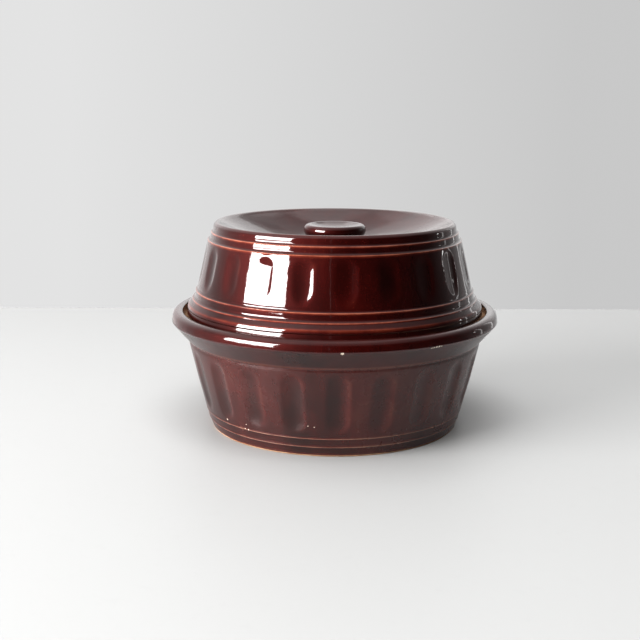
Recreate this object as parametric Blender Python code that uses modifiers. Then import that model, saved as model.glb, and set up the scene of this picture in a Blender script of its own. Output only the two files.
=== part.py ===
"""Covered butter crock: a fluted stoneware bowl, a domed lid with a dished top and its button knob.

Metres, +Z up. The origin is the centre of the bowl's foot, on the surface that it stands on.
Every piece is turned about +Z, and the lid lifts straight up along it.
"""
import math

import bmesh
import bpy
from mathutils import Matrix

# ---- driving dimensions ----
GAP = 0.0003                    # clearance left between pieces that rest on each other
FLUTES = 21                     # scoops round the bowl, and the same number round the lid
STEPS = 4 * FLUTES              # facets round the bowl and the lid
KNOB_STEPS = 40                 # facets round the knob
GLAZE_COLOR = (0.060, 0.011, 0.008)
GLAZE_ROUGHNESS = 0.10

# bowl: heights are above the table
FOOT_RADIUS = 0.0772
FOOT_BEVEL = 0.0006
FOOT_RING_WIDTH = 0.0075
FOOT_RECESS = 0.0025
FOOT_RECESS_LEAN = 0.0015
FOOT_BAND_RADIUS = 0.0792
FOOT_BAND_TOP = 0.0060
RING_BAND_TOP = 0.0114
EDGE = 0.0005                   # how far each ring line stands proud of the band below it
WALL_FOOT_RADIUS = 0.0808       # outside of the wall where it leaves the ring bands
WALL_TOP = 0.0546
WALL_TOP_RADIUS = 0.0912
WALL_TOP_STEP = 0.0006          # the small step out from the wall to the flare above it
RIM_BEAD = 0.0045               # radius of the rounded rim
RIM_BEAD_RADIUS = 0.0968        # distance of the bead's centre from the axis
RIM_BEAD_HEIGHT = 0.0686
RIM_BEAD_START = 118.0          # degrees from the outward direction, where the bead leaves the seat's wall
RIM_BEAD_END = 12.0             # where it runs out into the rim's face
RIM_FACE_FOOT = (0.1018, 0.0665)  # radius and height where the rim's face ends
RIM_UNDERSIDE = (0.1010, 0.0655)  # the corner below it, where the flare starts
INSIDE_FLOOR = 0.0080
INSIDE_CORNER = 0.0090
INSIDE_FLOOR_RADIUS = 0.0668
INSIDE_LEAN = 14.0              # degrees that the inside wall leans out from upright
MOUTH_RADIUS = 0.0868
MOUTH_BEVEL = 0.0010
SEAT_HEIGHT = 0.0680            # the ledge inside the rim that carries the lid
SEAT_RADIUS = 0.0945
SEAT_CORNER = 0.0010

# lid: heights are above its own underside. Its ring lines are the lower edges of small coves:
# below each edge the outside drops steeply, then flares out again to the next edge.
LID_RADIUS = 0.0922
LID_FOOT_OUTSIDE = (0.0910, 0.0025)  # radius where the foot starts, and height where its bevel ends
LID_FOOT_INSIDE = 0.0860
LID_FOOT_BEVEL = (0.0010, 0.0020)    # width and height of the bevel inside the foot
FLANGE_TOP = 0.0089
FLANGE_BEVEL = (0.0010, 0.0016)
SPLAY_EDGE = (0.0885, 0.0120)   # radius and height of each edge, from the flange up
LOW_EDGE = (0.0864, 0.0172)
HIGH_EDGE = (0.0786, 0.0481)
CREST_EDGE = (0.0764, 0.0528)
LINE = (0.0001, 0.0004)         # depth and thickness of the fine line at an edge
DROP = 0.0022                   # how far the outside drops steeply below an edge
DROP_LEAN = 0.0004              # how far it leans out over that drop
COVE_FULLNESS = 0.2             # height of a cove's turning point, as a share of the cove
LID_WALL_BASE = (0.0851, 0.0195)
CREST_HEIGHT = 0.0588
CREST_RADIUS = 0.0728
CREST_ROUND = 0.0020
CREST_FLAT = 0.0721             # radius where the crest's rounding starts
CREST_SIDE = (0.0751, 0.0552)   # where the crest's side starts to flare out to its edge
DISH_FLOOR = 0.0417
DISH_FLOOR_RADIUS = 0.0230
DISH_LIP = (0.0708, 0.0581)     # where the dish meets the crest
DISH_FLARE = 1.45               # how the dish steepens from its floor to its lip
DISH_STEPS = 5
DISH_WALL = 0.0060              # thickness under the dish
LID_INSIDE_LOW = (0.0808, 0.0172)
LID_INSIDE_SHOULDER = (0.0700, 0.0442)
LID_INSIDE_CREST = (0.0652, 0.0472)
LID_CROWN_EDGE = 0.0356         # height of the inside below the edge of the dish's floor
LID_CROWN_INSIDE = 0.0350       # height of the inside at the middle
SOCKET_RADIUS = 0.0093
SOCKET_DEPTH = 0.0028

# knob: heights are above its own foot
KNOB_RADIUS = 0.0194
KNOB_WIDEST = 0.0109
KNOB_HEIGHT = 0.0146
KNOB_LIP_RADIUS = 0.0168
KNOB_LIP_ROUND = 0.0009
KNOB_HOLLOW = 0.0029
KNOB_HOLLOW_FLARE = 2.2         # how the hollow steepens from its middle to the lip
KNOB_HOLLOW_SHARES = (0.4, 0.7, 0.9)
KNOB_LOWER_EDGE = (0.0186, 0.0085)
KNOB_BELOW_LIP = 0.0072
KNOB_UNDERSIDE = 0.0066
STEM_RADIUS = 0.0120
STEM_ARC = (100.0, 245.0)       # degrees, where the hollow of the waisted stem starts and ends
STEM_FOOT_RADIUS = 0.0145

# flutes: a scoop is a flattened round-ended bar sunk into the wall
SCOOP_HALF_WIDTH = 0.0088
SCOOP_HALF_THICKNESS = 0.0032
SCOOP_DEPTH = 0.0014
SCOOP_SEGMENTS = 12
SCOOP_RINGS = 8
BOWL_FLUTE_BASE = 0.0152
BOWL_FLUTE_TOP = 0.0510
BOWL_FLUTE_TURN = 0.8           # degrees, the turn of the first flute from the front
LID_FLUTE_BASE = 0.0208
LID_FLUTE_TOP = 0.0460
LID_FLUTE_TURN = 4.0

NEARLY_ZERO = 0.0001
MERGE_DISTANCE = 0.00001


def clear_scene():
    for item in list(bpy.data.objects):
        bpy.data.objects.remove(item, do_unlink=True)


def new_collection(name):
    collection = bpy.data.collections.new(name)
    bpy.context.scene.collection.children.link(collection)
    return collection


def glaze(name):
    material = bpy.data.materials.new(name)
    material.use_nodes = True
    shader = material.node_tree.nodes["Principled BSDF"]
    shader.inputs["Base Color"].default_value = (*GLAZE_COLOR, 1.0)
    shader.inputs["Roughness"].default_value = GLAZE_ROUGHNESS
    shader.inputs["Metallic"].default_value = 0.0
    return material


def arc(centre, radius, start, end, steps):
    """Points of a circular arc in the profile plane, angles in degrees from the outward direction."""
    points = []
    for step in range(steps + 1):
        angle = math.radians(start + (end - start) * step / steps)
        points.append((centre[0] + radius * math.cos(angle), centre[1] + radius * math.sin(angle)))
    return points


def on_line(start, end, height):
    """The radius at a height on the straight line between two profile points."""
    share = (height - start[1]) / (end[1] - start[1])
    return start[0] + share * (end[0] - start[0])


def turned(name, profile, steps, material, collection):
    """A solid of revolution from an open profile with both ends on the axis."""
    mesh = bpy.data.meshes.new(name)
    vertices = [(radius, 0.0, height) for radius, height in profile]
    edges = [(index, index + 1) for index in range(len(profile) - 1)]
    mesh.from_pydata(vertices, edges, [])
    piece = bpy.data.objects.new(name, mesh)
    collection.objects.link(piece)
    piece.data.materials.append(material)
    screw = piece.modifiers.new("turn", "SCREW")
    screw.axis = "Z"
    screw.angle = math.tau
    screw.steps = steps
    screw.render_steps = steps
    screw.use_smooth_shade = True
    screw.use_merge_vertices = True
    screw.merge_threshold = MERGE_DISTANCE
    return piece


def scoop_cutter(name, wall_foot, wall_top, base, top, turn, collection):
    """One object that holds a ring of round-ended bars, lying along a sloping wall."""
    lean = math.atan2(wall_top[0] - wall_foot[0], wall_top[1] - wall_foot[1])
    middle = (base + top) / 2
    surface = on_line(wall_foot, wall_top, middle)
    centre = surface + (SCOOP_HALF_THICKNESS - SCOOP_DEPTH) / math.cos(lean)
    half_straight = (top - base) / 2 / math.cos(lean) - SCOOP_HALF_WIDTH
    bm = bmesh.new()
    for flute in range(FLUTES):
        angle = math.radians(turn - 90.0) + math.tau * flute / FLUTES
        ball = bmesh.ops.create_uvsphere(bm, u_segments=SCOOP_SEGMENTS, v_segments=SCOOP_RINGS, radius=1.0)
        shape = Matrix.Diagonal((SCOOP_HALF_THICKNESS, SCOOP_HALF_WIDTH, SCOOP_HALF_WIDTH, 1.0))
        bmesh.ops.transform(bm, matrix=shape, verts=ball["verts"])
        for vertex in ball["verts"]:
            if vertex.co.z > NEARLY_ZERO:
                vertex.co.z += half_straight
            elif vertex.co.z < -NEARLY_ZERO:
                vertex.co.z -= half_straight
        place = (Matrix.Rotation(angle, 4, "Z") @ Matrix.Translation((centre, 0.0, middle))
                 @ Matrix.Rotation(lean, 4, "Y"))
        bmesh.ops.transform(bm, matrix=place, verts=ball["verts"])
    mesh = bpy.data.meshes.new(name)
    bm.to_mesh(mesh)
    bm.free()
    cutter = bpy.data.objects.new(name, mesh)
    collection.objects.link(cutter)
    cutter.hide_render = True
    cutter.display_type = "WIRE"
    return cutter


def cut(piece, cutter):
    boolean = piece.modifiers.new("flutes", "BOOLEAN")
    boolean.operation = "DIFFERENCE"
    boolean.solver = "EXACT"
    boolean.object = cutter


def bowl_profile():
    """From the middle of the inside floor, up the inside, over the rim, down to the foot and back in."""
    corner = (INSIDE_FLOOR_RADIUS, INSIDE_FLOOR + INSIDE_CORNER)
    foot_inside = FOOT_RADIUS - FOOT_RING_WIDTH
    points = [(0.0, INSIDE_FLOOR)]
    points += arc(corner, INSIDE_CORNER, -90.0, -INSIDE_LEAN, 3)
    points.append((MOUTH_RADIUS - MOUTH_BEVEL / 2, SEAT_HEIGHT - MOUTH_BEVEL))
    points.append((MOUTH_RADIUS + MOUTH_BEVEL / 2, SEAT_HEIGHT))
    points.append((SEAT_RADIUS - SEAT_CORNER, SEAT_HEIGHT))
    points.append((SEAT_RADIUS, SEAT_HEIGHT + SEAT_CORNER))
    points += arc((RIM_BEAD_RADIUS, RIM_BEAD_HEIGHT), RIM_BEAD, RIM_BEAD_START, RIM_BEAD_END, 5)
    points.append(RIM_FACE_FOOT)
    points.append(RIM_UNDERSIDE)
    points.append((WALL_TOP_RADIUS + WALL_TOP_STEP, WALL_TOP + WALL_TOP_STEP))
    points.append((WALL_TOP_RADIUS, WALL_TOP))
    points.append((WALL_FOOT_RADIUS + EDGE, RING_BAND_TOP))
    points.append((WALL_FOOT_RADIUS - EDGE, RING_BAND_TOP - EDGE))
    points.append((FOOT_BAND_RADIUS, FOOT_BAND_TOP))
    points.append((FOOT_BAND_RADIUS - EDGE, FOOT_BAND_TOP - EDGE))
    points.append((FOOT_RADIUS, FOOT_BEVEL))
    points.append((FOOT_RADIUS - FOOT_BEVEL, 0.0))
    points.append((foot_inside, 0.0))
    points.append((foot_inside - FOOT_RECESS_LEAN, FOOT_RECESS))
    points.append((0.0, FOOT_RECESS))
    return points


def dish_height(radius):
    """Height of the lid's dished top at a radius between its floor and its lip."""
    share = (radius - DISH_FLOOR_RADIUS) / (DISH_LIP[0] - DISH_FLOOR_RADIUS)
    return DISH_FLOOR + (DISH_LIP[1] - DISH_FLOOR) * share ** DISH_FLARE


def dish_radii():
    span = DISH_LIP[0] - DISH_FLOOR_RADIUS
    return [DISH_FLOOR_RADIUS + span * step / DISH_STEPS for step in range(DISH_STEPS + 1)]


def cove(start, end, steps=3):
    """Points after start on a hollow curve that sets off downwards and turns out to end."""
    turn = (start[0], end[1] + COVE_FULLNESS * (start[1] - end[1]))
    points = []
    for step in range(1, steps + 1):
        t = step / steps
        shares = ((1 - t) ** 2, 2 * t * (1 - t), t ** 2)
        radius = shares[0] * start[0] + shares[1] * turn[0] + shares[2] * end[0]
        height = shares[0] * start[1] + shares[1] * turn[1] + shares[2] * end[1]
        points.append((radius, height))
    return points


def below(edge):
    """The steep drop under an edge: its top, just inside the edge, and its foot."""
    top = (edge[0] - LINE[0], edge[1] - LINE[1])
    return [top, (top[0] + DROP_LEAN, edge[1] - DROP)]


def lid_profile():
    """From the knob's socket, out over the dish and the crest, down the outside and back up the inside."""
    points = [(0.0, DISH_FLOOR - SOCKET_DEPTH)]
    points.append((SOCKET_RADIUS, DISH_FLOOR - SOCKET_DEPTH))
    points.append((SOCKET_RADIUS, DISH_FLOOR))
    points += [(radius, dish_height(radius)) for radius in dish_radii()]
    points.append((CREST_FLAT, CREST_HEIGHT))
    points += arc((CREST_RADIUS, CREST_HEIGHT - CREST_ROUND), CREST_ROUND, 70.0, 10.0, 2)
    points.append(CREST_SIDE)
    points += cove(CREST_SIDE, CREST_EDGE)
    points += below(CREST_EDGE)
    points += cove(points[-1], HIGH_EDGE)
    points.append((HIGH_EDGE[0] - LINE[0], HIGH_EDGE[1] - LINE[1]))
    points.append(LID_WALL_BASE)
    points += cove(LID_WALL_BASE, LOW_EDGE)
    points += below(LOW_EDGE)
    points += cove(points[-1], SPLAY_EDGE)
    points.append((SPLAY_EDGE[0] + LINE[0], SPLAY_EDGE[1] - LINE[1]))
    points.append((LID_RADIUS - FLANGE_BEVEL[0], FLANGE_TOP))
    points.append((LID_RADIUS, FLANGE_TOP - FLANGE_BEVEL[1]))
    points.append((LID_RADIUS, LID_FOOT_OUTSIDE[1]))
    points.append((LID_FOOT_OUTSIDE[0], 0.0))
    points.append((LID_FOOT_INSIDE, 0.0))
    points.append((LID_FOOT_INSIDE - LID_FOOT_BEVEL[0], LID_FOOT_BEVEL[1]))
    points.append(LID_INSIDE_LOW)
    points.append(LID_INSIDE_SHOULDER)
    points.append(LID_INSIDE_CREST)
    for radius in reversed(dish_radii()[1:-1]):
        points.append((radius, dish_height(radius) - DISH_WALL))
    points.append((DISH_FLOOR_RADIUS, LID_CROWN_EDGE))
    points.append((0.0, LID_CROWN_INSIDE))
    return points


def knob_profile():
    """From the hollow in the top, round the button's edge, down the waisted stem and in to the spigot."""
    spigot = SOCKET_RADIUS - GAP
    waist = KNOB_UNDERSIDE / 2
    points = [(0.0, KNOB_HEIGHT - KNOB_HOLLOW)]
    for share in KNOB_HOLLOW_SHARES:
        depth = KNOB_HOLLOW * (1 - share ** KNOB_HOLLOW_FLARE)
        points.append((KNOB_LIP_RADIUS * share, KNOB_HEIGHT - depth))
    points.append((KNOB_LIP_RADIUS, KNOB_HEIGHT))
    points.append((KNOB_RADIUS - KNOB_LIP_ROUND, KNOB_HEIGHT - KNOB_LIP_ROUND))
    points.append((KNOB_RADIUS, KNOB_WIDEST))
    points.append(KNOB_LOWER_EDGE)
    points.append((KNOB_LIP_RADIUS, KNOB_BELOW_LIP))
    points += arc((STEM_RADIUS + waist, waist), waist, STEM_ARC[0], STEM_ARC[1], 5)
    points.append((STEM_FOOT_RADIUS, 0.0))
    points.append((spigot, 0.0))
    points.append((spigot, GAP - SOCKET_DEPTH))
    points.append((0.0, GAP - SOCKET_DEPTH))
    return points


def build():
    clear_scene()
    parts = new_collection("butter_crock")
    cutters = new_collection("cutters")

    crock = turned("crock", bowl_profile(), STEPS, glaze("crock_glaze"), parts)
    bowl_scoops = scoop_cutter("bowl_scoops", (WALL_FOOT_RADIUS + EDGE, RING_BAND_TOP),
                               (WALL_TOP_RADIUS, WALL_TOP), BOWL_FLUTE_BASE, BOWL_FLUTE_TOP,
                               BOWL_FLUTE_TURN, cutters)
    cut(crock, bowl_scoops)

    lift = bpy.data.objects.new("lid_lift", None)
    lift.location = (0.0, 0.0, SEAT_HEIGHT + GAP)
    parts.objects.link(lift)

    lid = turned("lid", lid_profile(), STEPS, glaze("lid_glaze"), parts)
    lid.parent = lift
    lid_scoops = scoop_cutter("lid_scoops", LID_WALL_BASE, HIGH_EDGE,
                              LID_FLUTE_BASE, LID_FLUTE_TOP, LID_FLUTE_TURN, cutters)
    lid_scoops.parent = lift
    cut(lid, lid_scoops)

    knob = turned("knob", knob_profile(), KNOB_STEPS, glaze("knob_glaze"), parts)
    knob.parent = lift
    knob.location = (0.0, 0.0, DISH_FLOOR + GAP)


build()
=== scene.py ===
import math

import bpy
import numpy as np
from mathutils import Matrix, Vector


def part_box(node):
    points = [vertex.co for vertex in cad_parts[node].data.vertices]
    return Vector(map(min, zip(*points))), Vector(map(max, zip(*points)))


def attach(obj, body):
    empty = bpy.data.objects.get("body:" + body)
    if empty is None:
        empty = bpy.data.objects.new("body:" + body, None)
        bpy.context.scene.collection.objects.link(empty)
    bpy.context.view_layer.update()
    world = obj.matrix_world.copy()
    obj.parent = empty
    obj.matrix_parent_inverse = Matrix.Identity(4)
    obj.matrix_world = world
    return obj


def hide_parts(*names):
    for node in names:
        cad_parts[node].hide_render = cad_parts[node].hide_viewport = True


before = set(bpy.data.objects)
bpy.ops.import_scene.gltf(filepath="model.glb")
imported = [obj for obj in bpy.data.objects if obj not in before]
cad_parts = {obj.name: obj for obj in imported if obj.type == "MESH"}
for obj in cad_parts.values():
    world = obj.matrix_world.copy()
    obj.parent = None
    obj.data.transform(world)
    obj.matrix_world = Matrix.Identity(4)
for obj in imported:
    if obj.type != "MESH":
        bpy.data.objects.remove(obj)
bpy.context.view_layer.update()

# ---- sizes read from the frame, in metres ----
RIM_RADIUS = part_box("crock")[1].x
LID_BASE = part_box("lid")[0].z
LID_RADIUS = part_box("lid")[1].x
CREST_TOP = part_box("lid")[1].z
KNOB_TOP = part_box("knob")[1].z
KNOB_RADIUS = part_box("knob")[1].x

FLUTES = 21
BOWL_SIDES = 26 * FLUTES        # facets round the bowl
LID_SIDES = 22 * FLUTES
KNOB_SIDES = 144
ARC_STEP = math.radians(18)     # turn between points on a rounded corner
NEARLY_STRAIGHT = math.radians(89.5)    # half the angle of a corner that needs no rounding
FILLET_REACH = 0.48             # how much of a run one fillet may take
FINEST_FILLET = 0.00022         # rounding of the sharp ring lines
ON_AXIS = 1e-6                  # a radius below this is on the axis
COVE_STEPS = 6
COVE_FULLNESS = 0.2             # height of a cove's turning point, as a share of the cove

# scoops: distances from a scoop's spine are shares of its half width
SCOOP_SOFTNESS = 0.16           # how softly the hollow's edge is rounded
SCOOP_UNEVEN = 0.07             # how much the scoops differ in depth
SCOOP_LOW_DEEPER = 0.25         # how much deeper a scoop is at its lower end
SCOOP_OUTERMOST = 1.6           # where the hollow has run out
SCOOP_FADE = 0.4                # the width over which it runs out
SCOOP_EDGE = 0.92               # where the glaze thins on the edge
SCOOP_EDGE_WIDTH = 0.22

# camera: it stands in front (-Y), a little left of the axis, and looks slightly down
CAMERA_PLACE = (-0.0090, -0.6796, 0.2063)
CAMERA_DOWN = math.radians(11.83)
CAMERA_ROLL = math.radians(0.18)
CAMERA_LENS = 61.9

TABLE_LEFT, TABLE_RIGHT = -0.70, 0.70
TABLE_FRONT, TABLE_BACK = -0.48, 0.36
TABLE_TOP = -0.0001             # just under the foot, so that the two faces don't coincide


# ---------------------------------------------------------------- turned outlines
# what a run of an outline carries: scoops, bare clay, a satin face, and a thick pool of glaze
RUN_FACTS = ("fluted", "bare", "satin", "pool")


def corner(radius, height, fillet=0.0, thin=0.0, spread=0.0005, step=0.004, **run):
    """One corner of an outline. fillet rounds it, thin is how far the glaze thins on it and spread how wide
    that reaches. step, and fluted, bare, satin and pool in run, are for the run that follows it."""
    facts = dict(radius=radius, height=height, fillet=fillet, thin=thin, spread=spread, step=step)
    return facts | {name: run.get(name, 0.0) for name in RUN_FACTS}


def fillet_points(before, at, after, size):
    """The arc that rounds one corner, as close points."""
    to_before = np.subtract(before, at)
    to_after = np.subtract(after, at)
    length_before = np.linalg.norm(to_before)
    length_after = np.linalg.norm(to_after)
    to_before = to_before / length_before
    to_after = to_after / length_after
    half = math.acos(float(np.clip(to_before @ to_after, -1.0, 1.0))) / 2
    if half > NEARLY_STRAIGHT:
        return [tuple(at)]
    reach = min(size / math.tan(half), FILLET_REACH * length_before, FILLET_REACH * length_after)
    radius = reach * math.tan(half)
    middle = to_before + to_after
    centre = np.array(at) + middle / np.linalg.norm(middle) * radius / math.sin(half)
    first = np.array(at) + to_before * reach - centre
    last = np.array(at) + to_after * reach - centre
    sweep = math.atan2(first[0] * last[1] - first[1] * last[0], float(first @ last))
    steps = max(2, math.ceil(abs(sweep) / ARC_STEP))
    points = []
    for index in range(steps + 1):
        angle = sweep * index / steps
        turn = np.array([[math.cos(angle), -math.sin(angle)], [math.sin(angle), math.cos(angle)]])
        points.append(tuple(centre + turn @ first))
    return points


def trace(corners):
    """Close-set samples along an outline: radius, height, the run's facts and thin for each."""
    places = [(c["radius"], c["height"]) for c in corners]
    groups = []
    for index, c in enumerate(corners):
        inner = 0 < index < len(corners) - 1
        if inner and c["fillet"] > 0:
            groups.append(fillet_points(places[index - 1], places[index], places[index + 1], c["fillet"]))
        else:
            groups.append([places[index]])
    samples = []
    for index, group in enumerate(groups):
        c = corners[index]
        before = corners[max(index - 1, 0)]
        for order, point in enumerate(group):
            run = c if order * 2 >= len(group) else before
            samples.append((*point, *(run[name] for name in RUN_FACTS)))
        if index + 1 < len(groups):
            start, end = np.array(group[-1]), np.array(groups[index + 1][0])
            pieces = max(1, math.ceil(np.linalg.norm(end - start) / c["step"]))
            for piece in range(1, pieces):
                point = start + (end - start) * piece / pieces
                samples.append((*point, *(c[name] for name in RUN_FACTS)))
    samples = np.array(samples, float)
    thin = np.zeros(len(samples))
    for c in corners:
        if c["thin"] > 0:
            away = np.hypot(samples[:, 0] - c["radius"], samples[:, 1] - c["height"])
            thin = np.maximum(thin, c["thin"] * np.exp(-(away / c["spread"]) ** 2))
    return np.column_stack([samples, thin])


def cove(start, end):
    """Corners after start on a hollow curve that sets off downwards and turns out to end."""
    turn = (start[0], end[1] + COVE_FULLNESS * (start[1] - end[1]))
    corners = []
    for index in range(1, COVE_STEPS):
        t = index / COVE_STEPS
        shares = ((1 - t) ** 2, 2 * t * (1 - t), t ** 2)
        radius = shares[0] * start[0] + shares[1] * turn[0] + shares[2] * end[0]
        height = shares[0] * start[1] + shares[1] * turn[1] + shares[2] * end[1]
        corners.append(corner(radius, height))
    return corners


def arc_corners(centre, radius, start, end, steps):
    """Corners on a circular arc, angles in degrees from the outward direction."""
    corners = []
    for index in range(steps + 1):
        angle = math.radians(start + (end - start) * index / steps)
        corners.append(corner(centre[0] + radius * math.cos(angle), centre[1] + radius * math.sin(angle)))
    return corners


# ---------------------------------------------------------------- meshes
class Flutes:
    """A ring of shallow round-ended scoops in a sloping wall, a little deeper on one side of each."""

    def __init__(self, base, top, half_width, depth, turn, skew, low_end):
        self.base = base
        self.top = top
        self.half_width = half_width
        self.depth = depth
        self.turn = math.radians(turn - 90.0)
        self.skew = skew            # how much deeper one side is than the other
        self.low_end = low_end      # length of the lower end, in half widths

    def reach(self, radius, height, angle):
        """Distance from a scoop's spine and sideways, as shares of its half width, and which scoop it is."""
        pitch = math.tau / FLUTES
        number = np.round((angle - self.turn) / pitch)
        across = (angle - self.turn - number * pitch) * radius
        above = np.maximum(height - (self.top - self.half_width), 0.0)
        below = np.maximum(self.base + self.low_end * self.half_width - height, 0.0) / self.low_end
        return np.hypot(across, above + below) / self.half_width, across / self.half_width, number

    def sink(self, share, side, number, height):
        """How deep the wall sinks at a share of the half width: a hollow with a softly rounded edge."""
        inside = 1.0 - share ** 2
        rounded = (inside + np.sqrt(inside ** 2 + SCOOP_SOFTNESS ** 2)) / 2
        uneven = 1.0 + SCOOP_UNEVEN * np.sin(number * 2.4 + 0.7)
        middle = (self.base + self.top) / 2
        deeper = 1.0 + SCOOP_LOW_DEEPER * (middle - height) / (self.top - self.base)
        fade = np.clip((SCOOP_OUTERMOST - share) / SCOOP_FADE, 0.0, 1.0)
        lopsided = 1.0 + self.skew * np.clip(side, -1.1, 1.1)
        return self.depth * uneven * deeper * rounded * fade * lopsided


def waver(angle, height):
    """How a wall wanders inwards from round, from -1 to 0, so that the outside stays within the CAD."""
    slow = np.sin(3 * angle + 30 * height + 0.6)
    quick = 0.6 * np.sin(5 * angle - 55 * height)
    return (slow + quick - 1.6) / 3.2


def turned(name, samples, sides, flutes=None, wobble=0.0):
    """A closed mesh of revolution, with its scoops sunk in, and the glaze's attributes on its points."""
    radius, height, fluted, bare, satin, pool, thin = samples.T
    ahead = np.roll(samples[:, :2], -1, axis=0)
    behind = np.roll(samples[:, :2], 1, axis=0)
    ahead[-1] = samples[-1, :2]
    behind[0] = samples[0, :2]
    along = ahead - behind
    along /= np.linalg.norm(along, axis=1)[:, None]
    outward = np.column_stack([-along[:, 1], along[:, 0]])
    angle = np.arange(sides) * math.tau / sides - math.pi / 2
    grid_angle, grid_radius = np.meshgrid(angle, radius)
    grid_height = np.repeat(height[:, None], sides, axis=1)
    scoop = np.zeros_like(grid_radius)
    edge = np.zeros_like(grid_radius)
    sink = np.zeros_like(grid_radius)
    if flutes:
        share, side, number = flutes.reach(grid_radius, grid_height, grid_angle)
        on_wall = fluted[:, None] > 0
        sink = np.where(on_wall, flutes.sink(share, side, number, grid_height), 0.0)
        scoop = np.where(on_wall, np.clip(1.0 - share, 0.0, 1.0), 0.0)
        one_side = np.clip(0.35 + 0.65 * side, 0.0, 1.0)
        edge = np.where(on_wall, np.exp(-((share - SCOOP_EDGE) / SCOOP_EDGE_WIDTH) ** 2) * one_side, 0.0)
    wander = wobble * np.clip(grid_radius / RIM_RADIUS, 0.0, 1.0) * waver(grid_angle, grid_height)
    r = grid_radius - outward[:, :1] * sink + wander
    z = grid_height - outward[:, 1:] * sink
    x = r * np.cos(grid_angle)
    y = r * np.sin(grid_angle)

    rows = len(samples)
    first_pole = radius[0] < ON_AXIS
    last_pole = radius[-1] < ON_AXIS
    points = np.stack([x, y, z], axis=-1)
    top = 1 if first_pole else 0
    bottom = rows - 1 if last_pole else rows
    ring = points[top:bottom].reshape(-1, 3)
    facts = {"thin": thin, "bare": bare, "satin": satin, "pool": pool}
    facts = {key: np.repeat(value[:, None], sides, 1) for key, value in facts.items()}
    facts |= {"scoop": scoop, "edge": edge}
    columns = {key: value[top:bottom].ravel() for key, value in facts.items()}
    vertices = [ring]
    if first_pole:
        vertices.append(np.array([[0.0, 0.0, height[0]]]))
    if last_pole:
        vertices.append(np.array([[0.0, 0.0, height[-1]]]))
    vertices = np.concatenate(vertices)
    count = bottom - top
    faces = []
    step = np.arange(sides)
    following = (step + 1) % sides
    for row in range(count - 1):
        upper, lower = row * sides, (row + 1) * sides
        faces += np.column_stack([upper + step, lower + step, lower + following, upper + following]).tolist()
    pole = count * sides
    if first_pole:
        faces += np.column_stack([np.full(sides, pole), step, following]).tolist()
        pole += 1
    if last_pole:
        lower = (count - 1) * sides
        faces += np.column_stack([np.full(sides, pole), lower + following, lower + step]).tolist()
    mesh = bpy.data.meshes.new(name)
    mesh.from_pydata(vertices.tolist(), [], faces)
    mesh.validate()
    mesh.shade_smooth()
    for key, values in columns.items():
        ends = [facts[key][0, 0]] * int(first_pole) + [facts[key][-1, 0]] * int(last_pole)
        attribute = mesh.attributes.new(key, "FLOAT", "POINT")
        attribute.data.foreach_set("value", np.concatenate([values, ends]).astype(np.float32))
    piece = bpy.data.objects.new(name, mesh)
    bpy.context.scene.collection.objects.link(piece)
    return piece


# ---------------------------------------------------------------- outlines of the three pieces
BEAD_CENTRE = (RIM_RADIUS - 0.0050, 0.0686)
BEAD_RADIUS = 0.0045
SEAT_HEIGHT = LID_BASE - 0.0003
BOWL_FLOOR = 0.0080
FOOT_RECESS = 0.0025


def bowl_outline():
    """From the middle of the inside floor, up the inside, over the rim and down to the foot."""
    satin = dict(satin=1.0)
    flare = dict(satin=0.8, pool=1.0)
    line = dict(fillet=FINEST_FILLET, thin=1.0, spread=0.00030)
    corners = [corner(0.0, BOWL_FLOOR, step=0.010)]
    corners.append(corner(0.0760, BOWL_FLOOR, fillet=0.0090, step=0.008))
    # the bare ledge that carries the lid, and the wall of the seat
    corners.append(corner(0.0866, SEAT_HEIGHT, fillet=0.0012, thin=0.5, spread=0.0010, step=0.002, bare=1.0))
    corners.append(corner(0.0945, SEAT_HEIGHT, fillet=0.0014, step=0.0015, bare=0.75))
    corners.append(corner(0.0952, 0.0712, fillet=0.0010, step=0.0008, bare=0.50))
    # the rim, its face and the flare under it
    corners += arc_corners(BEAD_CENTRE, BEAD_RADIUS, 118.0, 12.0, 15)
    corners.append(corner(RIM_RADIUS - 0.0001, 0.0669, fillet=0.0007))
    corners.append(corner(0.1009, 0.0659, fillet=0.0008, step=0.0018, **flare))
    corners.append(corner(0.0950, 0.0592, fillet=0.0300, step=0.0018, **flare))
    corners.append(corner(0.0917, 0.0554, fillet=0.0003, thin=0.45, spread=0.0004, **satin))
    # the fluted wall
    corners.append(corner(0.0909, 0.0543, fillet=0.0006, **satin))
    corners.append(corner(0.0911, 0.0528, fillet=0.0030, step=0.0012, fluted=1.0, **satin))
    corners.append(corner(0.0859, 0.0300, fillet=0.2000, step=0.0012, fluted=1.0, **satin))
    # the two ring lines above the foot
    corners.append(corner(0.0812, 0.0118, **satin))
    corners.append(corner(0.0813, 0.0114, **line, **satin))
    corners.append(corner(0.0808, 0.0109, fillet=0.0005, step=0.0016, **satin))
    corners.append(corner(0.0796, 0.0064, **satin))
    corners.append(corner(0.0797, 0.0060, **line, **satin))
    corners.append(corner(0.0792, 0.0055, fillet=0.0005, step=0.0012, **satin))
    # the bare foot ring and the recess inside it
    corners.append(corner(0.0777, 0.0012, step=0.0002, thin=0.25, spread=0.0006, **satin))
    corners.append(corner(0.0776, 0.0009, step=0.0004, bare=1.0))
    corners.append(corner(0.0773, 0.0, fillet=0.0005, step=0.0025, bare=1.0))
    corners.append(corner(0.0697, 0.0, fillet=0.0008, bare=1.0))
    corners.append(corner(0.0682, FOOT_RECESS, fillet=0.0010, step=0.010, bare=1.0))
    corners.append(corner(0.0, FOOT_RECESS, bare=1.0))
    return corners


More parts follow.
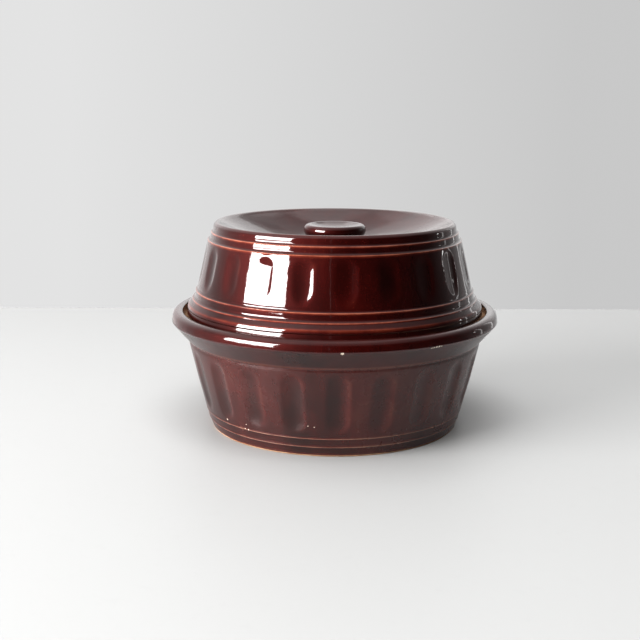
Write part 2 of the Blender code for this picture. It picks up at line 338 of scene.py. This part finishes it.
CREST_RADIUS = 0.0728
DISH_FLOOR = LID_BASE + 0.0417
DISH_FLOOR_RADIUS = 0.0230
DISH_EDGE = (CREST_RADIUS - 0.0022, CREST_TOP - 0.0006)
DISH_FLARE = 1.45
SOCKET_RADIUS = 0.0093
SOCKET_DEPTH = 0.0028
UNDER_DISH = 0.0060              # thickness of the lid under its dish
CROWN_EDGE = LID_BASE + 0.0356   # the inside below the edge of the dish's floor
CROWN_INSIDE = LID_BASE + 0.0350


def dish_height(radius):
    share = (radius - DISH_FLOOR_RADIUS) / (DISH_EDGE[0] - DISH_FLOOR_RADIUS)
    return DISH_FLOOR + (DISH_EDGE[1] - DISH_FLOOR) * share ** DISH_FLARE


def dish_points(count):
    span = DISH_EDGE[0] - DISH_FLOOR_RADIUS
    radii = [DISH_FLOOR_RADIUS + span * index / count for index in range(count + 1)]
    return [(radius, dish_height(radius)) for radius in radii]


def edge_and_drop(radius, height, thin):
    """A sharp ring line, and the steep drop under it."""
    return [corner(radius, height, fillet=FINEST_FILLET, thin=thin, spread=0.00045),
            corner(radius, height - 0.0004, fillet=0.0002, step=0.0009)]


def lid_outline():
    """From the knob's socket over the dish and the crest, down the outside and back up the inside."""
    base = LID_BASE
    corners = [corner(0.0, DISH_FLOOR - SOCKET_DEPTH, step=0.01)]
    corners.append(corner(SOCKET_RADIUS, DISH_FLOOR - SOCKET_DEPTH, fillet=0.0003))
    corners.append(corner(SOCKET_RADIUS, DISH_FLOOR, fillet=0.0003, step=0.005))
    corners += [corner(*point) for point in dish_points(22)]
    # the crest, and the coves and ring lines under it
    corners.append(corner(CREST_RADIUS, CREST_TOP + 0.0001, fillet=0.0022, thin=0.10, spread=0.0015))
    corners.append(corner(0.0748, CREST_TOP - 0.0016, fillet=0.0016))
    side = (0.0751, base + 0.0552)
    corners.append(corner(*side, fillet=0.003))
    crest_edge = (0.0764, base + 0.0528)
    corners += cove(side, crest_edge)
    corners += edge_and_drop(*crest_edge, 1.0)
    side = (0.0767, base + 0.0506)
    corners.append(corner(*side, fillet=0.003))
    high_edge = (0.0786, base + 0.0481)
    corners += cove(side, high_edge)
    corners += edge_and_drop(*high_edge, 1.0)
    # the fluted wall, then the lower coves and ring lines
    corners[-1].update(step=0.0012, fluted=1.0)
    side = (0.0851, base + 0.0195)
    corners.append(corner(*side, fillet=0.004))
    low_edge = (0.0864, base + 0.0172)
    corners += cove(side, low_edge)
    corners += edge_and_drop(*low_edge, 0.95)
    side = (0.0867, base + 0.0150)
    corners.append(corner(*side, fillet=0.003))
    splay_edge = (0.0885, base + 0.0120)
    corners += cove(side, splay_edge)
    corners.append(corner(*splay_edge, fillet=0.0003, thin=0.75, spread=0.0005))
    # the flange that drops inside the rim
    corners.append(corner(0.0888, base + 0.0113, fillet=0.0010, step=0.0008))
    corners.append(corner(LID_RADIUS - 0.0010, base + 0.0085, fillet=0.0012, thin=0.45, spread=0.0008))
    corners.append(corner(LID_RADIUS - 0.0004, base + 0.0066, fillet=0.0006))
    corners.append(corner(LID_RADIUS - 0.0008, base + 0.0062, fillet=0.0004))
    corners.append(corner(LID_RADIUS - 0.0006, base + 0.0056, fillet=0.0006))
    corners.append(corner(LID_RADIUS, base + 0.0030, fillet=0.0030, step=0.0012))
    corners.append(corner(LID_RADIUS - 0.0004, base + 0.0018, fillet=0.0020, step=0.0010))
    # the bare foot of the lid, and its inside
    corners.append(corner(LID_RADIUS - 0.0016, base, fillet=0.0008, step=0.002, bare=1.0))
    corners.append(corner(LID_RADIUS - 0.0062, base, fillet=0.0008, step=0.002, bare=1.0))
    corners.append(corner(0.0806, base + 0.0172, fillet=0.02, step=0.006))
    corners.append(corner(0.0700, base + 0.0443, fillet=0.0060, step=0.004))
    corners.append(corner(0.0640, base + 0.0452, fillet=0.0060, step=0.004))
    for radius, height in reversed(dish_points(10)[1:8]):
        corners.append(corner(radius, height - UNDER_DISH))
    corners.append(corner(DISH_FLOOR_RADIUS, CROWN_EDGE, step=0.008))
    corners.append(corner(0.0, CROWN_INSIDE))
    return corners


KNOB_FOOT = DISH_FLOOR - 0.0002
KNOB_HOLLOW = 0.0029
KNOB_HOLLOW_FLARE = 2.2         # how the hollow steepens from its middle to the lip
KNOB_HOLLOW_STEPS = 15
SPIGOT_RADIUS = SOCKET_RADIUS - 0.0003
SPIGOT_FOOT = DISH_FLOOR - SOCKET_DEPTH + 0.0003


def knob_outline():
    """From the hollow in the top, round the button's edge, down the waisted stem and in to the spigot."""
    lip = KNOB_RADIUS - 0.0024
    corners = [corner(0.0, KNOB_TOP - KNOB_HOLLOW, step=0.0015)]
    for step in range(1, KNOB_HOLLOW_STEPS - 1):
        share = step / KNOB_HOLLOW_STEPS
        depth = KNOB_HOLLOW * (1 - share ** KNOB_HOLLOW_FLARE)
        corners.append(corner(lip * share, KNOB_TOP - depth))
    corners.append(corner(lip + 0.0002, KNOB_TOP + 0.0001, fillet=0.0020, thin=0.10, spread=0.0012))
    corners.append(corner(KNOB_RADIUS - 0.0004, KNOB_TOP - 0.0016, fillet=0.0022))
    corners.append(corner(KNOB_RADIUS + 0.0001, KNOB_TOP - 0.0040, fillet=0.0030))
    corners.append(corner(KNOB_RADIUS - 0.0012, KNOB_TOP - 0.0068, fillet=0.0024))
    corners.append(corner(0.0158, KNOB_TOP - 0.0080, fillet=0.0030, step=0.001))
    corners.append(corner(0.0122, KNOB_TOP - 0.0106, fillet=0.0030, step=0.001))
    corners.append(corner(0.0126, KNOB_TOP - 0.0132, fillet=0.0030, step=0.001))
    corners.append(corner(0.0158, KNOB_FOOT, fillet=0.0002))
    corners.append(corner(SPIGOT_RADIUS, KNOB_FOOT))
    corners.append(corner(SPIGOT_RADIUS, SPIGOT_FOOT))
    corners.append(corner(0.0, SPIGOT_FOOT))
    return corners


# ---------------------------------------------------------------- materials
def on_side(samples, azimuth, height):
    """A point on the outside at an angle from the front (towards +X) and a height."""
    outer = samples[np.argmax(samples[:, 0]):]
    order = np.argsort(outer[:, 1])
    radius = float(np.interp(height, outer[order, 1], outer[order, 0]))
    angle = math.radians(azimuth - 90.0)
    return Vector((radius * math.cos(angle), radius * math.sin(angle), height))


class Nodes:
    """Short calls for building a node tree."""

    def __init__(self, tree):
        self.tree = tree

    def add(self, kind, inputs=(), **settings):
        node = self.tree.nodes.new("ShaderNode" + kind)
        for key, value in settings.items():
            setattr(node, key, value)
        for key, value in dict(inputs).items():
            self.put(value, node.inputs[key])
        return node

    def put(self, value, socket):
        if isinstance(value, bpy.types.NodeSocket):
            self.tree.links.new(value, socket)
        else:
            socket.default_value = value

    def math(self, operation, a, b=0.0, clamp=False):
        return self.add("Math", {0: a, 1: b}, operation=operation, use_clamp=clamp).outputs[0]

    def vector(self, operation, a, b, output="Vector"):
        return self.add("VectorMath", {0: a, 1: b}, operation=operation).outputs[output]

    def noise(self, place, scale, detail, roughness):
        inputs = {"Vector": place, "Scale": scale, "Detail": detail, "Roughness": roughness}
        return self.add("TexNoise", inputs).outputs["Fac"]

    def spread(self, value, low, high, start=0.0, end=1.0, kind="SMOOTHSTEP"):
        inputs = {"Value": value, "From Min": low, "From Max": high, "To Min": start, "To Max": end}
        return self.add("MapRange", inputs, interpolation_type=kind).outputs["Result"]

    def mix(self, share, a, b):
        node = self.add("Mix", {"Factor": share}, data_type="RGBA")
        colours = [socket for socket in node.inputs if socket.type == "RGBA"]
        self.put(a, colours[0])
        self.put(b, colours[1])
        return [socket for socket in node.outputs if socket.type == "RGBA"][0]

    def attribute(self, name):
        return self.add("Attribute", attribute_name=name).outputs["Fac"]

    def ramp(self, value, stops):
        node = self.add("ValToRGB", {"Fac": value})
        elements = node.color_ramp.elements
        elements[0].position, elements[0].color = stops[0]
        elements[1].position, elements[1].color = stops[-1]
        for position, colour in stops[1:-1]:
            element = elements.new(position)
            element.color = colour
        return node.outputs["Color"]


def new_material(name):
    """A material with nodes, the helper for its tree and its shader's inputs."""
    material = bpy.data.materials.new(name)
    material.use_nodes = True
    tree = material.node_tree
    return material, Nodes(tree), tree.nodes["Principled BSDF"].inputs


# glaze colours from thickest to thinnest, and how thin the glaze is at each
GLOSSY_GLAZE = ((0.0105, 0.0006, 0.0005, 1.0), (0.038, 0.0021, 0.0015, 1.0),
                (0.150, 0.0270, 0.0130, 1.0), (0.380, 0.1300, 0.0750, 1.0))
SATIN_GLAZE = ((0.020, 0.0040, 0.0030, 1.0), (0.068, 0.0090, 0.0066, 1.0),
               (0.130, 0.0450, 0.0300, 1.0), (0.300, 0.1600, 0.1100, 1.0))
GLAZE_STOPS = (0.0, 0.20, 0.55, 1.0)
SCOOP_THICKER = 0.06            # how much thicker the glaze is in a scoop, and where it pools under the rim
POOL_THICKER = 0.07
CLAY = (0.5600, 0.3400, 0.2000, 1.0)
CLAY_STAIN = (0.3300, 0.1500, 0.0700, 1.0)
GRIT = (0.2400, 0.1300, 0.0700, 1.0)
CHIP = (0.8000, 0.7000, 0.5800, 1.0)
WHITE = (1.0, 1.0, 1.0, 1.0)
GLAZE_IOR = 1.62
BODY_SHEEN = (0.37, 0.028, 0.020, 1.0)   # tint of the light that the body scatters forward under the coat
BODY_ROUGHNESS = (0.46, 0.54)
SATIN_SMOOTHER = (0.27, 0.21)
CLAY_ROUGHER = 0.30
CHIP_ROUGHER = 0.30
CHIP_WARP = 0.0011              # how far a chip's outline strays
RELIEF_STRENGTH = 0.40
RELIEF_DEPTH = 0.00020
STREAKS = (110.0, 110.0, 16.0)  # how fine the streaks that ran down the wall are, along X, Y and Z

# how fine each noise is, per metre
CLOUDS, STAINS, PATCHES, RIPPLES, RAGGED, DIMPLES = 16.0, 45.0, 75.0, 80.0, 160.0, 260.0
CLAY_GRAIN, SPECKS, GRAINS = 420.0, 900.0, 1500.0


def glaze_thinness(n, place, cloudy, patchy, warmth):
    """How thin the glaze is: on sharp lines, scoop edges and specks, less in scoops and pools."""
    running = n.noise(n.vector("MULTIPLY", place, STREAKS), 1.0, 3.0, 0.55)
    lines = n.math("MULTIPLY", n.attribute("thin"), n.spread(patchy, 0.25, 0.75, 0.50, 1.12))
    edges = n.math("MULTIPLY", n.attribute("edge"), n.spread(patchy, 0.35, 0.7, 0.03, 0.15))
    body = n.spread(cloudy, 0.28, 0.75, 0.03, warmth)
    body = n.math("ADD", body, n.spread(running, 0.35, 0.68, -0.025, 0.035))
    specks = n.spread(n.noise(place, SPECKS, 2.0, 0.5), 0.66, 0.74, 0.0, 0.22)
    specks = n.math("MULTIPLY", specks, n.spread(cloudy, 0.45, 0.65))
    thinness = n.math("ADD", n.math("MAXIMUM", lines, edges), body)
    thinness = n.math("ADD", thinness, specks)
    thicker = n.math("ADD", n.math("MULTIPLY", n.attribute("scoop"), SCOOP_THICKER),
                     n.math("MULTIPLY", n.attribute("pool"), POOL_THICKER))
    return n.math("SUBTRACT", thinness, thicker, clamp=True)


def bare_clay(n, place):
    """Stained and gritty buff clay."""
    stain = n.spread(n.noise(place, STAINS, 5.0, 0.65), 0.40, 0.70)
    grit = n.spread(n.noise(place, GRAINS, 2.0, 0.5), 0.60, 0.72, 0.0, 0.5)
    return n.mix(grit, n.mix(stain, CLAY, CLAY_STAIN), GRIT)


def chips(n, place, spots):
    """Where the small chips are, as ragged spots round their centres."""
    stray = n.add("TexNoise", {"Vector": place, "Scale": SPECKS}).outputs["Color"]
    stray = n.vector("SUBTRACT", stray, (0.5, 0.5, 0.5))
    stray = n.add("VectorMath", {0: stray, "Scale": CHIP_WARP}, operation="SCALE").outputs[0]
    strayed = n.vector("ADD", place, stray)
    chipped = None
    for centre, size in spots:
        away = n.vector("DISTANCE", strayed, centre, "Value")
        spot = n.spread(away, size * 1.12, size * 0.80)
        chipped = spot if chipped is None else n.math("MAXIMUM", chipped, spot)
    return chipped


def glaze(name, coat_roughness, warmth, spots=(), coated_all_over=False):
    """Dark red glaze: a clear coat over a deep red body that scatters, thin and orange on sharp edges.
    On the satin wall the coat is gone. It also has bare clay and small chips."""
    material, n, shader = new_material(name)
    place = n.add("TexCoord").outputs["Object"]
    satin = n.attribute("satin")
    cloudy = n.noise(place, CLOUDS, 4.0, 0.55)
    patchy = n.noise(place, PATCHES, 4.0, 0.6)

    thinness = glaze_thinness(n, place, cloudy, patchy, warmth)
    glossy, dulled = (n.ramp(thinness, list(zip(GLAZE_STOPS, tones)))
                      for tones in (GLOSSY_GLAZE, SATIN_GLAZE))
    colour = n.mix(satin, glossy, dulled)
    ragged = n.spread(n.noise(place, RAGGED, 4.0, 0.6), 0.3, 0.7, -0.18, 0.18)
    is_bare = n.spread(n.math("ADD", n.attribute("bare"), ragged), 0.42, 0.58)
    colour = n.mix(is_bare, colour, bare_clay(n, place))

    coatless = n.math("MAXIMUM", satin, is_bare)
    rough = n.spread(cloudy, 0.3, 0.8, *BODY_ROUGHNESS)
    rough = n.math("SUBTRACT", rough, n.math("MULTIPLY", satin, n.spread(patchy, 0.3, 0.7, *SATIN_SMOOTHER)))
    rough = n.math("ADD", rough, n.math("MULTIPLY", is_bare, CLAY_ROUGHER), clamp=True)
    dimples = n.math("MULTIPLY", n.noise(place, DIMPLES, 2.0, 0.4), 0.40)
    relief = n.math("ADD", dimples, n.noise(place, RIPPLES, 2.0, 0.4))
    grain = n.math("MULTIPLY", is_bare, n.noise(place, CLAY_GRAIN, 3.0, 0.6))
    relief = n.math("ADD", relief, n.math("MULTIPLY", grain, 0.8))
    if spots:
        chipped = chips(n, place, spots)
        colour = n.mix(chipped, colour, CHIP)
        coatless = n.math("MAXIMUM", coatless, chipped)
        rough = n.math("ADD", rough, n.math("MULTIPLY", chipped, CHIP_ROUGHER), clamp=True)
        relief = n.math("SUBTRACT", relief, n.math("MULTIPLY", chipped, 1.5))
    bump = n.add("Bump", {"Height": relief, "Strength": RELIEF_STRENGTH, "Distance": RELIEF_DEPTH})

    n.put(colour, shader["Base Color"])
    n.put(rough, shader["Roughness"])
    n.put(bump.outputs["Normal"], shader["Normal"])
    n.put(bump.outputs["Normal"], shader["Coat Normal"])
    if coated_all_over:
        shader["Specular Tint"].default_value = BODY_SHEEN
        shader["Coat Weight"].default_value = 1.0
    else:
        n.put(n.mix(coatless, BODY_SHEEN, WHITE), shader["Specular Tint"])
        n.put(n.math("SUBTRACT", 1.0, coatless, clamp=True), shader["Coat Weight"])
    shader["Coat Roughness"].default_value = coat_roughness
    shader["Coat IOR"].default_value = GLAZE_IOR
    shader["IOR"].default_value = GLAZE_IOR
    return material


TABLE_WHITE = (0.335, 0.335, 0.333, 1.0)
TABLE_FLECK = (0.309, 0.309, 0.306, 1.0)


def table_material():
    material, n, shader = new_material("table_white")
    place = n.add("TexCoord").outputs["Object"]
    fleck = n.spread(n.noise(place, 90.0, 4.0, 0.6), 0.55, 0.80, 0.0, 0.25)
    n.put(n.mix(fleck, TABLE_WHITE, TABLE_FLECK), shader["Base Color"])
    shader["Roughness"].default_value = 0.55
    return material


# ---------------------------------------------------------------- pieces
def place_piece(piece, body, node, material):
    piece.data.materials.append(material)
    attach(piece, body)
    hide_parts(node)


# scoops: base and top heights, half width, depth, degrees that the first one is turned, how much deeper one
# side is, and the lower end's length in half widths
BOWL_FLUTES = (0.0152, 0.0510, 0.0068, 0.00145, 0.8, 0.22, 1.0)
LID_FLUTES = (LID_BASE + 0.0208, LID_BASE + 0.0460, 0.0064, 0.00092, 4.0, 0.32, 1.5)
BOWL_WOBBLE = 0.00025
LID_WOBBLE = 0.00018
COAT_ROUGHNESS = {"crock": 0.07, "lid": 0.05, "knob": 0.05}
WARMTH = {"crock": 0.26, "lid": 0.20, "knob": 0.18}

# chips as (degrees from the front, height, radius)
BOWL_CHIPS = [(1.8, 0.0664, 0.0010), (35.6, 0.0664, 0.0006), (34.6, 0.0663, 0.0007),
              (33.6, 0.0663, 0.0007), (32.6, 0.0662, 0.0006), (31.7, 0.0661, 0.0005),
              (-51.4, 0.0140, 0.0005), (-39.3, 0.0148, 0.0004), (-38.5, 0.0118, 0.0004),
              (-40.4, 0.0120, 0.0003), (-12.4, 0.0239, 0.0003), (-10.8, 0.0196, 0.0003),
              (-8.4, 0.0191, 0.0004),
              (118.0, 0.0668, 0.0009), (201.0, 0.0140, 0.0006), (154.0, 0.0420, 0.0004)]
LID_CHIPS = [(-59.2, 0.1010, 0.0004), (28.4, 0.0893, 0.0011), (72.0, 0.0805, 0.0007),
             (163.0, 0.0860, 0.0006)]


def make_pieces():
    bowl_samples = trace(bowl_outline())
    lid_samples = trace(lid_outline())
    bowl = turned("glazed_crock", bowl_samples, BOWL_SIDES, Flutes(*BOWL_FLUTES), BOWL_WOBBLE)
    lid = turned("glazed_lid", lid_samples, LID_SIDES, Flutes(*LID_FLUTES), LID_WOBBLE)
    knob = turned("glazed_knob", trace(knob_outline()), KNOB_SIDES)
    bowl_spots = [(on_side(bowl_samples, azimuth, height), size) for azimuth, height, size in BOWL_CHIPS]
    lid_spots = [(on_side(lid_samples, azimuth, height), size) for azimuth, height, size in LID_CHIPS]
    for piece, body, node, extra in ((bowl, "crock", "crock", dict(spots=bowl_spots)),
                                     (lid, "lid", "lid", dict(spots=lid_spots)),
                                     (knob, "lid", "knob", dict(coated_all_over=True))):
        slot = node + "_glaze"
        place_piece(piece, body, node, glaze(slot, COAT_ROUGHNESS[node], WARMTH[node], **extra))


# ---------------------------------------------------------------- table, light and camera
def make_table():
    """The table, and a collection of its own that one of the lamps lights alone."""
    edges = [(TABLE_LEFT, TABLE_FRONT), (TABLE_RIGHT, TABLE_FRONT), (TABLE_RIGHT, TABLE_BACK),
             (TABLE_LEFT, TABLE_BACK)]
    vertices = [(x, y, TABLE_TOP) for x, y in edges]
    mesh = bpy.data.meshes.new("table")
    mesh.from_pydata(vertices, [], [(0, 1, 2, 3)])
    table = bpy.data.objects.new("table", mesh)
    bpy.context.scene.collection.objects.link(table)
    mesh.materials.append(table_material())
    table_only = bpy.data.collections.new("table_only")
    table_only.objects.link(table)
    return table_only


LAMP_TARGET = Vector((0.0, 0.0, 0.06))
# azimuth, elevation, distance, width, height and radiance
MIRRORED_LAMPS = {"window": (-59.0, 18.0, 1.6, 1.07, 0.68, 24.5),
                  "far_window": (117.0, 6.0, 2.0, 0.07, 1.1, 1.8),
                  "far_window_2": (137.0, 6.0, 2.0, 0.07, 1.1, 1.8),
                  "small_lamp": (108.0, 7.0, 2.0, 0.08, 0.08, 8.0),
                  "door_gap": (-4.0, 14.0, 2.0, 0.012, 0.6, 1.1)}
# soft light that the glaze doesn't mirror. The second lights only the table, so that the shadow round the
# foot stays faint, as in the photo.
FILL = (-80.0, 72.0, 2.2, 2.2, 2.2, 1.95)
TABLE_FILL = (5.0, 64.0, 3.0, 2.4, 1.8, 6.6)


def area_light(name, azimuth, elevation, distance, width, height, radiance):
    """A flat lamp that faces the crock, azimuth in degrees from the front towards +X."""
    data = bpy.data.lights.new(name, "AREA")
    data.shape = "RECTANGLE"
    data.size = width
    data.size_y = height
    data.energy = radiance * math.pi * width * height
    lamp = bpy.data.objects.new(name, data)
    bpy.context.scene.collection.objects.link(lamp)
    turn = math.radians(azimuth - 90.0)
    lift = math.radians(elevation)
    direction = Vector((math.cos(turn) * math.cos(lift), math.sin(turn) * math.cos(lift), math.sin(lift)))
    lamp.location = LAMP_TARGET + direction * distance
    lamp.rotation_euler = direction.to_track_quat("Z", "Y").to_euler()
    lamp.visible_camera = False
    return lamp


# how bright the room is round the crock: degrees from the front towards +X, then the radiance at the
# horizon, at 20 to 30 degrees up, and high up
ROOM = [(-180, 0.65, 1.36, 1.15), (-165, 0.90, 1.24, 1.05), (-150, 1.10, 1.10, 0.90),
        (-115, 0.44, 0.44, 1.20), (-88, 0.33, 0.33, 1.40), (-42, 0.30, 0.30, 1.05),
        (-28, 0.18, 0.18, 0.70), (-8, 0.07, 0.07, 0.48), (10, 0.02, 0.02, 0.42),
        (95, 0.02, 0.02, 0.40), (110, 0.16, 0.16, 0.50), (130, 0.32, 0.32, 0.60),
        (150, 0.60, 0.95, 0.95), (165, 0.80, 1.40, 1.15), (180, 0.65, 1.36, 1.15)]
ZENITH = (0.85, 0.85, 0.85, 1.0)         # one tone overhead, where all the directions meet
# elevations between which the room goes over to its next tone
TO_MIDDLE, TO_HIGH, TO_ZENITH = (0, 14), (32, 58), (62, 84)
# furniture at the back that the dished top mirrors: from and to in azimuth, from and to in elevation, and
# how much brighter than the room it is
FURNITURE = [(164.0, 172.5, 28.0, 51.0, 0.44), (166.5, 169.5, 31.5, 38.0, 0.62),
             (-177.0, -167.0, 41.0, 54.0, 0.68), (-175.5, -172.0, 26.0, 35.0, 1.45)]
FURNITURE_EDGE = 0.0035                  # softness of its sides, in turns
FURNITURE_ENDS = 0.02                    # softness of its top and bottom
WALL_HALF_WIDTH = 0.22                   # the wall behind the table as the camera sees it
# painted light on the wall: brighter at the left, painted shade towards the right
WALL_LEFT, WALL_RIGHT = 0.80, 0.63
PHOTO_GAMMA = 0.85


def sine(degrees):
    return math.sin(math.radians(degrees))


def as_share(azimuth):
    """An azimuth as a share of a whole turn, starting at the back."""
    return (azimuth + 180) / 360


def room_tone(n, turn, height):
    """The room's colour in each direction: a tone round the room at three heights, and one overhead."""
    low, middle, high = (n.ramp(turn, [(as_share(row[0]), (row[column],) * 3 + (1.0,)) for row in ROOM])
                         for column in (1, 2, 3))
    tone = low
    for (bottom, top), above in ((TO_MIDDLE, middle), (TO_HIGH, high), (TO_ZENITH, ZENITH)):
        tone = n.mix(n.spread(height, sine(bottom), sine(top)), tone, above)
    return tone


def furniture_strength(n, turn, height):
    strength = 1.0
    for left, right, bottom, top, share in FURNITURE:
        inside = 1.0
        for value, low, high, soft in ((turn, as_share(left), as_share(right), FURNITURE_EDGE),
                                       (height, sine(bottom), sine(top), FURNITURE_ENDS)):
            rising = n.spread(value, low - soft, low + soft)
            falling = n.spread(value, high - soft, high + soft, 1.0, 0.0)
            inside = n.math("MULTIPLY", n.math("MULTIPLY", rising, falling), inside)
        strength = n.math("MULTIPLY", n.spread(inside, 0.0, 1.0, 1.0, share, "LINEAR"), strength)
    return strength


def make_world():
    """A plain grey room for the glaze to mirror, and a pale wall for the camera to see, with painted light
    on it: brighter on the left and shaded towards the right.
    """
    world = bpy.data.worlds.new("studio")
    bpy.context.scene.world = world
    world.use_nodes = True
    world.node_tree.nodes.clear()
    n = Nodes(world.node_tree)
    x, y, height = n.add("SeparateXYZ", {0: n.add("TexCoord").outputs["Generated"]}).outputs
    turn = n.math("ARCTAN2", x, n.math("MULTIPLY", y, -1.0))
    turn = n.spread(turn, -math.pi, math.pi, kind="LINEAR")
    room = {"Color": room_tone(n, turn, height), "Strength": furniture_strength(n, turn, height)}
    # the wall's painted light: its strength falls from left to right, painted shade on the right
    wall = {"Color": WHITE,
            "Strength": n.spread(x, -WALL_HALF_WIDTH, WALL_HALF_WIDTH, WALL_LEFT, WALL_RIGHT, "LINEAR")}
    mirrored = n.add("Background", room).outputs[0]
    seen = n.add("Background", wall).outputs[0]
    is_camera = n.add("LightPath").outputs["Is Camera Ray"]
    either = n.add("MixShader", {0: is_camera, 1: mirrored, 2: seen}).outputs[0]
    n.add("OutputWorld", {"Surface": either})


def make_light(table_only):
    for name, facts in MIRRORED_LAMPS.items():
        area_light(name, *facts)
    fill = area_light("fill", *FILL)
    table_fill = area_light("table_fill", *TABLE_FILL)
    fill.visible_glossy = False
    table_fill.visible_glossy = False
    table_fill.light_linking.receiver_collection = table_only
    make_world()
    bpy.context.scene.view_settings.view_transform = "Standard"
    bpy.context.scene.view_settings.gamma = PHOTO_GAMMA


def make_camera():
    data = bpy.data.cameras.new("camera")
    data.lens = CAMERA_LENS
    camera = bpy.data.objects.new("camera", data)
    bpy.context.scene.collection.objects.link(camera)
    look = Matrix.Rotation(math.pi / 2 - CAMERA_DOWN, 4, "X") @ Matrix.Rotation(CAMERA_ROLL, 4, "Z")
    camera.matrix_world = Matrix.Translation(CAMERA_PLACE) @ look
    bpy.context.scene.camera = camera


make_camera()
make_pieces()
make_light(make_table())
